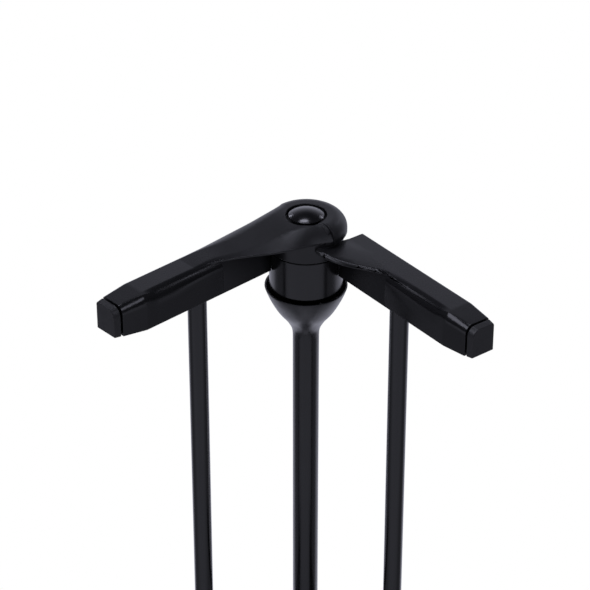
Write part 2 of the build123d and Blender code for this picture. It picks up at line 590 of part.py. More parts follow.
def end_cap(side):
    """Cap on the slide's outer end, in line with the arm's nose."""
    low, top = ARM_LOW[side], ARM_TOP[side]
    start, stop = NOSE_END + END_GAP, NOSE_END + END_GAP + END_CAP_LEN
    ends = [tip_section(start, side, low, top, 0.3), tip_section(stop, side, low, top, 0.9)]
    pocket = block(start - 1, start + END_SOCKET + SEAT, side * SLOT_L[0], side * SLOT_L[1], *SLOT_Z)
    return loft(ends, ruled=True) - pocket


# Assembly: stand pieces are at their height already, head pieces are lifted to the rim

nodes = {
    "base_hub": base_hub(), "base_cap": base_cap(), "base_screw": base_screw(), "leg_pins": leg_pins(),
    "outer_tube": outer_tube(), "clamp_collar": clamp_collar(), "clamp_screw": clamp_screw(),
    "clamp_knob": lobed_knob(CLAMP_KNOB_X, CLAMP_SCREW_R + SEAT, CLAMP_SCREW_END + SEAT, CLAMP_Z),
    "inner_tube": inner_tube(), "guide_bush": guide_bush(), "tilt_tongue": tilt_tongue(),
    "friction_washers": friction_washers(), "tilt_yoke": tilt_yoke(), "tilt_bolt": tilt_bolt(),
    "tilt_knob": lobed_knob(TILT_KNOB_X, TILT_BOLT_R + RUN, TILT_BOLT_END + RUN, TILT_Z),
}
for name, angle in LEG_ANGLES.items():
    nodes[f"{name}_leg"] = leg(angle)
    nodes[f"{name}_foot"] = foot(angle)

head = {
    "spine_tube": spine_tube(), "hub_barrel": hub_barrel(), "pivot_pin": pivot_pin(),
    "lower_washer": lower_washer(), "upper_washer": upper_washer(), "retaining_ring": retaining_ring(),
    "push_button": push_button(), "lock_cross_pin": lock_cross_pin(), "lock_disc": lock_disc(),
    "button_spring": button_spring(), "ledge_collar": ledge_collar(), "collar_screw": collar_screw(),
}
wings = {"right": (RIGHT, right_arm), "left": (LEFT, left_arm)}
for name, (side, arm) in wings.items():
    turn = Rot(0, 0, -90 + side * HALF_ANGLE)
    head[f"{name}_arm"] = turn * arm()
    head[f"{name}_bar"] = turn * upright_bar(side)
    head[f"{name}_grub_screws"] = turn * grub_screws(side)
    head[f"{name}_ledge"] = turn * ledge(side)
    head[f"{name}_ledge_bush"] = turn * ledge_bush(side)
    head[f"{name}_slide"] = turn * end_slide(side)
    head[f"{name}_end_cap"] = turn * end_cap(side)
for name, shape in head.items():
    nodes[name] = Pos(0, 0, RIM_Z) * shape

os.makedirs("parts", exist_ok=True)
for name, shape in nodes.items():
    export_step(Pos(0, MAST_Y, 0) * shape, f"parts/{name}.step")
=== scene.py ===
import json
import math

import bmesh
import bpy
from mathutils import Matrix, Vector
from mathutils.bvhtree import BVHTree


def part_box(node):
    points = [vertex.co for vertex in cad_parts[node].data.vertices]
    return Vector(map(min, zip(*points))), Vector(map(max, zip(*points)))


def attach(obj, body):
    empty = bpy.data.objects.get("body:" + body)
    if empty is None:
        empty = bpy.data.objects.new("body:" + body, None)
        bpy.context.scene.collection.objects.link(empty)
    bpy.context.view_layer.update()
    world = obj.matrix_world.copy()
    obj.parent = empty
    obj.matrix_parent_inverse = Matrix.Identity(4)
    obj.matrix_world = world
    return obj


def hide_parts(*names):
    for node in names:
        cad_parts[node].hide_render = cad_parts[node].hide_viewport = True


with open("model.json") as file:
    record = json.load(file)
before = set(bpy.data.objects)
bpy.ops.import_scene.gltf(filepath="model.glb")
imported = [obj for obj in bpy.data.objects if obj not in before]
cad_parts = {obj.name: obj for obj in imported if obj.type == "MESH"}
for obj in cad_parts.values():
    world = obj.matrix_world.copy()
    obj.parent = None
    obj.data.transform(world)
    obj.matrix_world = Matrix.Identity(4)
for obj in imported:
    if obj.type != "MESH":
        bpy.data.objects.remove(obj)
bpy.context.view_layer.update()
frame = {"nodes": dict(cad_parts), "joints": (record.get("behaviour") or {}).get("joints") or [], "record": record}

# Rubber feet: three moulded pads pressed onto the pegs under the legs' ends. The rubber is matt,
# with a faint moulding bloom, a rounded tread edge and a ring of moulded ribs round the wall.

BODY_OF = {node: body for body, nodes in frame["record"]["behaviour"]["bodies"].items() for node in nodes}
LEGS = ("front", "left", "right")


def put(tree, kind, fed=(), **settings):
    """Adds a shader node; 'fed' pairs an input with a value or with the socket that feeds it."""
    node = tree.nodes.new(kind)
    for key, value in settings.items():
        setattr(node, key, value)
    for socket, value in dict(fed).items():
        if isinstance(value, bpy.types.NodeSocket):
            tree.links.new(value, node.inputs[socket])
        else:
            node.inputs[socket].default_value = value
    return node


def new_finish(name):
    """A fresh material: its node tree, its shader and the piece's own coordinates."""
    finish = bpy.data.materials.new(name)
    finish.use_nodes = True
    tree = finish.node_tree
    return finish, tree, tree.nodes["Principled BSDF"], put(tree, "ShaderNodeTexCoord").outputs["Object"]


def noise(tree, where, scale, detail=2.0):
    return put(tree, "ShaderNodeTexNoise", {"Vector": where, "Scale": scale, "Detail": detail}).outputs[0]


def spread(tree, value, low, high, start=0.3, end=0.7):
    """Stretches a value between start and end onto the range from low to high."""
    ends = {"Value": value, "From Min": start, "From Max": end, "To Min": low, "To Max": high}
    return put(tree, "ShaderNodeMapRange", ends).outputs[0]


def two_tone(tree, value, dark, light, start=0.3, end=0.7):
    """Colour that runs from dark to light as a value goes from start to end."""
    ramp = put(tree, "ShaderNodeValToRGB", {"Fac": value})
    for stop, place, colour in zip(ramp.color_ramp.elements, (start, end), (dark, light)):
        stop.position = place
        stop.color = (*colour, 1.0)
    return ramp.outputs["Color"]


def surface(tree, shader, colour, dull):
    """Feeds a shader its colour and its roughness."""
    tree.links.new(colour, shader.inputs["Base Color"])
    tree.links.new(dull, shader.inputs["Roughness"])


def relief(tree, shader, height, strength, distance=0.0001, over=None):
    """Feeds a shader a fine bump, laid over another normal where one is given."""
    fed = {"Height": height, "Strength": strength, "Distance": distance}
    if over is not None:
        fed["Normal"] = over
    tree.links.new(put(tree, "ShaderNodeBump", fed).outputs[0], shader.inputs["Normal"])


def matt_rubber():
    finish, tree, shader, where = new_finish("matt_rubber")
    bloom = noise(tree, where, 60.0, 4.0)
    pores = noise(tree, where, 2600.0)
    shade = two_tone(tree, bloom, (0.012, 0.012, 0.012), (0.024, 0.024, 0.025))
    surface(tree, shader, shade, spread(tree, bloom, 0.72, 0.9))
    relief(tree, shader, pores, 0.3)
    return finish


def link_mesh(name, mesh, finish, smooth_below=35.0):
    """A new object at the origin, shaded smooth except across its sharp edges."""
    mesh.materials.clear()
    mesh.materials.append(finish)
    mesh.polygons.foreach_set("use_smooth", [True] * len(mesh.polygons))
    mesh.set_sharp_from_angle(angle=math.radians(smooth_below))
    piece = bpy.data.objects.new(name, mesh)
    bpy.context.scene.collection.objects.link(piece)
    even = piece.modifiers.new("flat_faces_stay_flat", "WEIGHTED_NORMAL")
    even.keep_sharp = True
    even.weight = 80
    return piece


def fit(piece, *nodes):
    """The piece stands for these solids: it moves with their body, and the solids are hidden."""
    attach(piece, BODY_OF[nodes[0]])
    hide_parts(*nodes)


def lathe(profile, centre, steps=64):
    """Closed mesh turned about an upright axis from (radius, height) points, the axis at both ends."""
    mesh = bmesh.new()
    rings = []
    for radius, height in profile:
        if radius == 0.0:
            rings.append([mesh.verts.new((centre.x, centre.y, height))])
            continue
        turns = [2 * math.pi * step / steps for step in range(steps)]
        rings.append([
            mesh.verts.new((centre.x + radius * math.cos(t), centre.y + radius * math.sin(t), height))
            for t in turns
        ])
    for low, high in zip(rings, rings[1:]):
        for step in range(steps):
            after = (step + 1) % steps
            corners = ((low, step), (low, after), (high, after), (high, step))
            mesh.faces.new(dict.fromkeys(ring[place % len(ring)] for ring, place in corners))
    bmesh.ops.recalc_face_normals(mesh, faces=mesh.faces)
    return mesh


def to_mesh(shape, name):
    mesh = bpy.data.meshes.new(name)
    shape.to_mesh(mesh)
    shape.free()
    return mesh


def rib_ring_tree():
    """Node tree that stands small rounded ribs side by side in a ring, then turns and places the ring."""
    tree = bpy.data.node_groups.new("rib_ring", "GeometryNodeTree")
    kinds = {
        "Count": "NodeSocketInt", "Radius": "NodeSocketFloat", "Length": "NodeSocketFloat",
        "Width": "NodeSocketFloat", "Turn": "NodeSocketVector", "Place": "NodeSocketVector",
        "Finish": "NodeSocketMaterial",
    }
    for label, kind in kinds.items():
        tree.interface.new_socket(label, in_out="INPUT", socket_type=kind)
    tree.interface.new_socket("Ribs", in_out="OUTPUT", socket_type="NodeSocketGeometry")
    given = put(tree, "NodeGroupInput").outputs
    circle = {"Vertices": given["Count"], "Radius": given["Radius"]}
    ring = put(tree, "GeometryNodeMeshCircle", circle).outputs[0]
    ball = {"Segments": 8, "Rings": 8, "Radius": 0.5}
    rib = put(tree, "GeometryNodeMeshUVSphere", ball).outputs[0]
    stretch = {0: given["Width"], 1: given["Width"], 2: given["Length"]}
    size = put(tree, "ShaderNodeCombineXYZ", stretch).outputs[0]
    stood = {"Points": ring, "Instance": rib, "Scale": size}
    ribs = put(tree, "GeometryNodeInstanceOnPoints", stood).outputs[0]
    moved = {"Geometry": ribs, "Rotation": given["Turn"], "Translation": given["Place"]}
    placed = put(tree, "GeometryNodeTransform", moved).outputs[0]
    real = put(tree, "GeometryNodeRealizeInstances", {0: placed}).outputs[0]
    coated = {"Geometry": real, "Material": given["Finish"]}
    painted = put(tree, "GeometryNodeSetMaterial", coated).outputs[0]
    tree.links.new(painted, put(tree, "NodeGroupOutput").inputs[0])
    return tree


def baked(tree, name, sizes):
    """What a node tree makes at these sizes, as a plain mesh."""
    holder = bpy.data.objects.new(name, bpy.data.meshes.new(name))
    maker = holder.modifiers.new(name, "NODES")
    maker.node_group = tree
    for socket in tree.interface.items_tree:
        if socket.in_out == "INPUT":
            maker[socket.identifier] = sizes[socket.name]
    bpy.context.scene.collection.objects.link(holder)
    mesh = bpy.data.meshes.new_from_object(holder.evaluated_get(bpy.context.evaluated_depsgraph_get()))
    bpy.data.objects.remove(holder)
    return mesh


def add_ribs(node, name, finish, **sizes):
    """A ring of ribs on a solid, which moves with it."""
    piece = link_mesh(name, baked(rib_ring, name, {**sizes, "Finish": finish}), finish)
    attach(piece, BODY_OF[node])


rubber = matt_rubber()
rib_ring = rib_ring_tree()
FOOT_RIBS, FOOT_RIB, TREAD_GROOVE = 30, 0.0012, 0.0007
for leg in LEGS:
    low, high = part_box(f"{leg}_foot")
    middle = (low + high) / 2
    tall = high.z - low.z
    wide = (high.x - low.x) / 2
    wall = wide - FOOT_RIB / 2
    sole = [(0.0, 0.0), (wide * 0.28, 0.0), (wide * 0.30, TREAD_GROOVE)]
    sole += [(wide * 0.44, TREAD_GROOVE), (wide * 0.46, 0.0), (wide * 0.80, 0.0)]
    lower_lip = [(wide * 0.92, tall * 0.03), (wide * 0.98, tall * 0.08)]
    lower_lip += [(wide, tall * 0.14), (wide, tall * 0.20)]
    waist = [(wall, tall * 0.25), (wall, tall * 0.75)]
    upper_lip = [(wide, tall * 0.80), (wide, tall * 0.90)]
    upper_lip += [(wide * 0.98, tall * 0.96), (wide * 0.93, tall)]
    outline = [*sole, *lower_lip, *waist, *upper_lip, (wide * 0.2, tall), (0.0, tall)]
    pad = lathe([(r, low.z + z) for r, z in outline], middle)
    fit(link_mesh(f"{leg}_foot_pad", to_mesh(pad, f"{leg}_foot_pad"), rubber), f"{leg}_foot")
    add_ribs(
        f"{leg}_foot", f"{leg}_foot_ribs", rubber, Count=FOOT_RIBS, Radius=wall, Length=tall * 0.52,
        Width=FOOT_RIB, Turn=(0.0, 0.0, 0.0), Place=middle,
    )


# Legs: three tapering die-cast bars, each with an eye at the hub's end. They carry the same satin
# black powder coat as the hub and the arms, with the casting's edges broken by a small round.

def combined(tree, operation, first, second):
    """One number made of two, such as their product or the larger one."""
    return put(tree, "ShaderNodeMath", {0: first, 1: second}, operation=operation).outputs[0]


def share_along(tree, first, second):
    """How far one direction or place reaches along another."""
    ends = {0: first, 1: second}
    return put(tree, "ShaderNodeVectorMath", ends, operation="DOT_PRODUCT").outputs["Value"]


def satin_coat(name, tone, rough, peel=1.0, gloss=0.5, handled=None):
    """Satin black powder coat: fine orange peel, cloudy gloss, dust specks and paler worn edges.
    'handled' gives a direction, two places along it and how much smoother hands rub the coat there."""
    finish, tree, shader, where = new_finish(name)
    shader.inputs["Specular IOR Level"].default_value = gloss
    clouds = noise(tree, where, 38.0, 3.0)
    grain = noise(tree, where, 950.0, 3.0)
    specks = noise(tree, where, 2900.0, 1.0)
    rounded = put(tree, "ShaderNodeBevel", {"Radius": 0.0006}, samples=4).outputs[0]
    true = put(tree, "ShaderNodeNewGeometry").outputs["Normal"]
    edge = spread(tree, share_along(tree, rounded, true), 1.0, 0.0, 0.80, 0.97)
    worn = combined(tree, "MULTIPLY", edge, spread(tree, grain, 0.0, 1.0))
    body = two_tone(tree, specks, tone, [c * 1.6 for c in tone], 0.45, 0.8)
    bare = [c * 2.6 + 0.004 for c in tone]
    colour = put(tree, "ShaderNodeMix", {0: worn, 6: body, 7: (*bare, 1.0)}, data_type="RGBA").outputs[2]
    dull = spread(tree, clouds, rough - 0.04, rough + 0.06)
    if handled:
        heading, start, end, smoother = handled
        rubbed = spread(tree, share_along(tree, where, heading), 0.0, smoother, start, end)
        dull = combined(tree, "SUBTRACT", dull, rubbed)
    surface(tree, shader, colour, dull)
    relief(tree, shader, grain, 0.12 * peel, over=rounded)
    return finish


MERGE = 2e-6
FLAT = math.radians(0.4)


def softened(skin, by, crisp=32.0, chosen=None, steps=2, profile=0.5, clamp=True):
    """Breaks the edges sharper than 'crisp' degrees, or the chosen ones of them: round at a profile of
    0.5, flatter below that. 'clamp' holds a break back where it would run into its neighbour."""
    sharp = [e for e in skin.edges if e.is_manifold and e.calc_face_angle() > math.radians(crisp)]
    edges = [e for e in sharp if chosen is None or chosen(e)]
    bmesh.ops.bevel(
        skin, geom=edges, offset=by, segments=steps, profile=profile, affect="EDGES", clamp_overlap=clamp,
    )


def skin_of(node, round_by=0.0, crisp=32.0):
    """One joined skin of a solid's shape, with the edges sharper than 'crisp' degrees rounded."""
    skin = bmesh.new()
    skin.from_mesh(frame["nodes"][node].data)
    bmesh.ops.remove_doubles(skin, verts=skin.verts, dist=MERGE)
    bmesh.ops.dissolve_limit(skin, angle_limit=FLAT, verts=skin.verts, edges=skin.edges)
    if round_by:
        softened(skin, round_by, crisp)
    return skin


def dress(node, finish, round_by):
    """A solid's own shape with its edges broken, in its finish."""
    skin = to_mesh(skin_of(node, round_by), f"{node}_skin")
    fit(link_mesh(f"{node}_skin", skin, finish), node)


cast_black = satin_coat("cast_black", tone=(0.0075, 0.0077, 0.0083), rough=0.34)
for leg in LEGS:
    dress(f"{leg}_leg", cast_black, round_by=0.0012)


# Base hub, cap and pins: a cast spider with a clevis for each leg, closed below by a moulded cap on
# one screw. The legs turn on riveted pins of blackened steel.

def grained_plastic():
    """Moulded black plastic with a fine spark-eroded grain."""
    finish, tree, shader, where = new_finish("grained_plastic")
    grain = noise(tree, where, 1900.0, 2.0)
    shade = two_tone(tree, grain, (0.009, 0.009, 0.0095), (0.016, 0.016, 0.017))
    surface(tree, shader, shade, spread(tree, noise(tree, where, 70.0), 0.42, 0.54))
    relief(tree, shader, grain, 0.25)
    return finish


def blackened_steel():
    """Chemically blackened steel: dark metal with fine turning marks and brighter rubbed spots."""
    finish, tree, shader, where = new_finish("blackened_steel")
    rubbed = noise(tree, where, 420.0, 4.0)
    turned = {"Vector": where, "Scale": (300.0, 300.0, 4000.0)}
    marks = noise(tree, put(tree, "ShaderNodeMapping", turned).outputs[0], 1.0)
    shade = two_tone(tree, rubbed, (0.05, 0.05, 0.052), (0.14, 0.14, 0.145), 0.4, 0.8)
    surface(tree, shader, shade, spread(tree, marks, 0.3, 0.45))
    shader.inputs["Metallic"].default_value = 1.0
    relief(tree, shader, marks, 0.1, distance=0.00005)
    return finish


def dress_screw(node, heading, across, deep, round_by):
    """A screw with a hexagon socket sunk into each end that faces the heading."""
    screw = skin_of(node, round_by)
    ends = [face for face in screw.faces if face.normal.dot(heading) > 0.99]
    far = max(face.calc_center_median().dot(heading) for face in ends)
    first = heading.orthogonal().normalized()
    second = heading.cross(first)
    for end in [face for face in ends if face.calc_center_median().dot(heading) > far - MERGE]:
        middle, rim_edges = end.calc_center_bounds(), list(end.edges)
        bmesh.ops.delete(screw, geom=[end], context="FACES_ONLY")
        turns = [math.pi / 3 * corner for corner in range(6)]
        mouth = [
            screw.verts.new(middle + (first * math.cos(t) + second * math.sin(t)) * across / math.sqrt(3))
            for t in turns
        ]
        sole = [screw.verts.new(vert.co - heading * deep) for vert in mouth]
        sides = [(corner, (corner + 1) % 6) for corner in range(6)]
        lip = [screw.edges.new((mouth[a], mouth[b])) for a, b in sides]
        bmesh.ops.triangle_fill(screw, use_beauty=True, edges=rim_edges + lip, normal=heading)
        for a, b in sides:
            screw.faces.new((mouth[a], mouth[b], sole[b], sole[a]))
        screw.faces.new(sole)
    bmesh.ops.recalc_face_normals(screw, faces=screw.faces)
    fit(link_mesh(f"{node}_skin", to_mesh(screw, f"{node}_skin"), steel), node)


plastic = grained_plastic()
steel = blackened_steel()
dress("base_hub", cast_black, round_by=0.0008)
dress("base_cap", plastic, round_by=0.0005)
dress_screw("base_screw", Vector((0.0, 0.0, -1.0)), across=0.004, deep=0.002, round_by=0.0005)
dress("leg_pins", steel, round_by=0.0006)


# Mast tubes: two drawn steel tubes that telescope, in semi-gloss black enamel that still shows the
# faint lengthwise lines of drawing. The inner one runs on a nylon sleeve.

def tube_enamel(name, tone, rough, spun=None):
    """Enamel over drawn steel. 'spun' gives the heights between which the lines fade into a duller cup."""
    finish, tree, shader, where = new_finish(name)
    stretched = put(tree, "ShaderNodeMapping", {"Vector": where, "Scale": (520.0, 520.0, 5.0)}).outputs[0]
    lines = noise(tree, stretched, 1.0, 3.0)
    clouds = noise(tree, where, 45.0, 3.0)
    colour = two_tone(tree, lines, tone, [c * 1.5 for c in tone])
    dull = spread(tree, clouds, rough - 0.03, rough + 0.05)
    if spun:
        height = put(tree, "ShaderNodeSeparateXYZ", {0: where}).outputs["Z"]
        dull = combined(tree, "ADD", dull, spread(tree, height, 0.0, 0.1, *spun))
        lines = combined(tree, "MULTIPLY", lines, spread(tree, height, 1.0, 0.0, *spun))
    surface(tree, shader, colour, dull)
    rounded = put(tree, "ShaderNodeBevel", {"Radius": 0.0004}, samples=4).outputs[0]
    relief(tree, shader, combined(tree, "ADD", lines, noise(tree, where, 700.0)), 0.06, over=rounded)
    return finish


def moulded_nylon():
    finish, tree, shader, where = new_finish("moulded_nylon")
    clouds = noise(tree, where, 120.0, 3.0)
    shade = two_tone(tree, clouds, (0.02, 0.02, 0.021), (0.034, 0.034, 0.035))
    surface(tree, shader, shade, spread(tree, clouds, 0.38, 0.5))
    return finish


def repaint(node, finish):
    """A solid whose own shape is right keeps it and takes the finish."""
    slots = frame["nodes"][node].data.materials
    slots.clear()
    slots.append(finish)


enamel = tube_enamel("tube_enamel", tone=(0.008, 0.0082, 0.0088), rough=0.14)
nylon = moulded_nylon()
dress("outer_tube", enamel, round_by=0.0003)
dress("inner_tube", enamel, round_by=0.0003)
repaint("guide_bush", nylon)


# Height clamp: a cast collar pressed over the lower tube, with a boss for the clamp screw and a
# lobed hand knob moulded onto the screw's end.

KNOB_NECK_R, KNOB_NECK, KNOB_RIBS, KNOB_RIB = 0.009, 0.006, 26, 0.0011
KNOB_ROUND, KNOB_CRISP = 0.0011, 40.0
DISH_MARGIN, DISH_SLOPE, DISH_DEEP = 0.0035, 0.0008, 0.0010


def dress_knob(node):
    """Lobed knob with a rounded grip, a shallow dish in its outer face and a ribbed neck."""
    knob = skin_of(node, KNOB_ROUND, KNOB_CRISP)
    knob.faces.ensure_lookup_table()
    outer = max(knob.faces, key=lambda face: (round(face.calc_center_median().x, 5), face.calc_area()))
    bmesh.ops.inset_region(knob, faces=[outer], thickness=DISH_MARGIN, depth=0.0)
    bmesh.ops.inset_region(knob, faces=[outer], thickness=DISH_SLOPE, depth=-DISH_DEEP)
    fit(link_mesh(f"{node}_grip", to_mesh(knob, f"{node}_grip"), plastic), node)
    low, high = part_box(node)
    neck = Vector((low.x + KNOB_NECK / 2, (low.y + high.y) / 2, (low.z + high.z) / 2))
    add_ribs(
        node, f"{node}_neck_ribs", plastic, Count=KNOB_RIBS, Radius=KNOB_NECK_R, Length=KNOB_NECK * 0.7,
        Width=KNOB_RIB, Turn=(0.0, math.pi / 2, 0.0), Place=neck,
    )


dress("clamp_collar", cast_black, round_by=0.0006)
dress("clamp_screw", steel, round_by=0.0004)
dress_knob("clamp_knob")


# Tilt joint: a cast tongue on the mast between the two ears of the spine's yoke, with fibre washers,
# a through bolt and a second hand knob.

dress("tilt_tongue", cast_black, round_by=0.0006)
dress("tilt_yoke", cast_black, round_by=0.0006)
dress("friction_washers", nylon, round_by=0.0)
dress_screw("tilt_bolt", Vector((-1.0, 0.0, 0.0)), across=0.006, deep=0.0025, round_by=0.0008)
dress_knob("tilt_knob")


# Spine tube: a steel tube whose top is spun out into a thin flared cup. Its enamel is a little duller
# than the mast's, most of all in the cup, and the drawing lines fade out there.

rim_low, rim_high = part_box("spine_tube")
rim = Vector(((rim_low.x + rim_high.x) / 2, (rim_low.y + rim_high.y) / 2, rim_high.z))
FLARE_STARTS, FLARE_FULL = 0.045, 0.02
spun_part = (rim.z - FLARE_STARTS, rim.z - FLARE_FULL)
spine_enamel = tube_enamel("spine_enamel", tone=(0.008, 0.0083, 0.009), rough=0.22, spun=spun_part)
dress("spine_tube", spine_enamel, round_by=0.0005)


# Hinge stack: a fixed cast drum in the cup, then washers, the hollow pivot pin, its clip, and the lock
# disc and spring under the button. Only the drum shows from outside.

drum_coat = satin_coat("drum_coat", tone=(0.008, 0.0082, 0.0088), rough=0.22, peel=0.5)
dress("hub_barrel", drum_coat, round_by=0.0004)
for hidden in ("pivot_pin", "retaining_ring", "lock_cross_pin", "lock_disc", "button_spring"):
    repaint(hidden, steel)
for hidden in ("lower_washer", "upper_washer"):
    repaint(hidden, nylon)


# Ledge arms: two cast arms with a shelf and lip for the pages, on rings round the spine, which a
# collar with a grub screw carries. Nylon bushes line the rings.

for side in ("left", "right"):
    dress(f"{side}_ledge", cast_black, round_by=0.0005)
    repaint(f"{side}_ledge_bush", nylon)
dress("ledge_collar", cast_black, round_by=0.0005)
dress_screw("collar_screw", Vector((0.0, 1.0, 0.0)), across=0.002, deep=0.0015, round_by=0.0003)


# Upright bars: slim enamelled steel tubes between each ledge arm and its top arm, each pinched by a
# grub screw at both ends.

AXIS_OF = {joint["name"]: Vector(joint["axis"]) for joint in frame["joints"]}
OUTWARD = {side: AXIS_OF[f"{side}_extend"] for side in ("left", "right")}
REARWARD = {
    side: Vector((-axis.y, axis.x, 0.0)) * math.copysign(1.0, axis.x) for side, axis in OUTWARD.items()
}
for side in ("left", "right"):
    dress(f"{side}_bar", enamel, round_by=0.0003)
    dress_screw(f"{side}_grub_screws", REARWARD[side], across=0.002, deep=0.0015, round_by=0.0003)


# Top arms: two die-cast box arms in satin black with a broad round along the upper front corner. The
# right one ends in a flat plate over the middle knuckle, the left one in a cover that climbs to the
# rounded eye on top of the hinge, with a small stop lug beside the eye.

UP = Vector((0.0, 0.0, 1.0))
ARM_WALL, ROUND_DEEP, ROUND_TALL = 0.0088, 0.0072, 0.0132
ARM_TOP = {"left": 0.0414, "right": 0.0385}
ROUND_STARTS, ROUND_FULL, ROUND_FADES, ROUND_ENDS = 0.066, 0.112, 0.120, 0.1325
ROUND_CUT_DEGREES = (0, 5, 10, 15, 20, 25)
ARM_CUTS_MM = (*range(70, 111, 4), 120, 123, 126, 129)


def eased(value, start, end):
    """Rises smoothly from 0 at the start to 1 at the end."""
    share = min(1.0, max(0.0, (value - start) / (end - start)))
    return share * share * (3.0 - 2.0 * share)


def broad_round(shell, side):
    """Turns an arm's upper front corner into the casting's broad round, which narrows at the nose."""
    outward, rearward = OUTWARD[side], REARWARD[side]
    middle = rim + rearward * (ARM_WALL + ROUND_DEEP) + UP * (ARM_TOP[side] - ROUND_TALL)
    steps = [math.tan(math.radians(tilt)) for tilt in ROUND_CUT_DEGREES]
    planes = [(middle - rearward * ROUND_DEEP * step, rearward) for step in steps]
    planes += [(middle + UP * ROUND_TALL * step, UP) for step in steps]
    planes += [(rim + outward * place / 1000, outward) for place in ARM_CUTS_MM]
    for point, square in planes:
        reach = {face: max((v.co - rim).dot(outward) for v in face.verts) for face in shell.faces}
        near = [face for face in shell.faces if reach[face] > ROUND_STARTS]
        parts = list(dict.fromkeys(part for face in near for part in (face, *face.edges, *face.verts)))
        bmesh.ops.bisect_plane(shell, geom=parts, dist=MERGE, plane_co=point, plane_no=square)
    for vert in shell.verts:
        along = (vert.co - rim).dot(outward)
        deep, tall = (vert.co - middle).dot(rearward), vert.co.z - middle.z
        swell = math.hypot(deep / ROUND_DEEP, tall / ROUND_TALL)
        if deep < 0.0 < tall and swell > 1.0:
            share = eased(along, ROUND_STARTS, ROUND_FULL) * eased(along, ROUND_ENDS, ROUND_FADES)
            vert.co += (rearward * deep + UP * tall) * share * (1.0 / swell - 1.0)


EYE_BORE, EYE_CHAMFER, BORE_SLACK, EYE_TOP_ABOVE, EYE_CLEAR = 0.0139, 0.0007, 0.0002, 0.052, 0.021
COVER_FROM, COVER_TO, COVER_LOW, COVER_HIGH, COVER_EDGE = -0.002, 0.07, 0.0405, 0.0475, 0.0009
PLATE_FROM, PLATE_TO, PLATE_LOW, PLATE_HIGH, PLATE_EDGE = 0.027, 0.0735, 0.0375, 0.043, 0.0018
FRONT_HALF, FACING_UP, UPRIGHT = 0.0125, 0.5, 0.3
FLATTISH, CASTING_ROUND, CASTING_CRISP = 0.35, 0.0003, 40.0
RUBBED_FROM, RUBBED_TO = 0.04, 0.08


def on_bore(edge):
    """The rim of the button's recess in the eye."""
    spots = [vert.co - rim for vert in edge.verts]
    return all(abs(spot.xy.length - EYE_BORE) < BORE_SLACK and spot.z > EYE_TOP_ABOVE for spot in spots)


def top_edge(edge, side, start, end, low, high):
    """An edge between an upper and an upright face, on the front half of an arm and between two places."""
    spots = [vert.co - rim for vert in edge.verts]
    tops = [face.normal.z > FACING_UP for face in edge.link_faces]
    sides = [abs(face.normal.z) < UPRIGHT for face in edge.link_faces]
    near = all(start < spot.dot(OUTWARD[side]) < end and low < spot.z < high for spot in spots)
    ahead = all(spot.dot(REARWARD[side]) < FRONT_HALF for spot in spots)
    clear = all(spot.xy.length > EYE_CLEAR for spot in spots)
    return near and ahead and clear and any(tops) and any(sides)


def on_cover(edge):
    return top_edge(edge, "left", COVER_FROM, COVER_TO, COVER_LOW, COVER_HIGH)


def on_plate(edge):
    return top_edge(edge, "right", PLATE_FROM, PLATE_TO, PLATE_LOW, PLATE_HIGH)


def handled_end(side, smoother):
    """Where an arm's coat turns from satin to rubbed: its heading, two places along it and the change."""
    heading = OUTWARD[side]
    return heading, heading.dot(rim) + RUBBED_FROM, heading.dot(rim) + RUBBED_TO, smoother


# Painted shade: the left arm's coat has a darker tone than the right's, though both arms carry the same powder
# coat.
arm_coat = {
    "left": satin_coat(
        "left_arm_coat_painted_shade", tone=(0.005, 0.0052, 0.0058), rough=0.42, gloss=0.48,
        handled=handled_end("left", smoother=0.22),
    ),
    "right": satin_coat(
        "right_arm_coat", tone=(0.0085, 0.0087, 0.0093), rough=0.3, gloss=0.44,
        handled=handled_end("right", smoother=0.1),
    ),
}
shells = {side: skin_of(f"{side}_arm") for side in ("left", "right")}
softened(shells["left"], EYE_CHAMFER, chosen=on_bore, steps=4)
softened(shells["left"], COVER_EDGE, chosen=on_cover, profile=FLATTISH)
softened(shells["right"], PLATE_EDGE, chosen=on_plate, profile=FLATTISH, clamp=False)
for side, shell in shells.items():
    broad_round(shell, side)
    softened(shell, CASTING_ROUND, CASTING_CRISP)
    name = f"{side}_arm_skin"
    if side == "left":
        eye_surface = BVHTree.FromBMesh(shell)
    fit(link_mesh(name, to_mesh(shell, name), arm_coat[side]), f"{side}_arm")

STOP_IN, STOP_OUT, STOP_HIGH, STOP_DEEP, STOP_ROUND = 0.0176, 0.0232, 0.0004, 0.0015, 0.0002
STOP_FROM_DEGREES, STOP_TO_DEGREES = 43.0, 53.0
STOP_ROWS, STOP_STEPS, WELL_ABOVE = 5, 4, 0.1


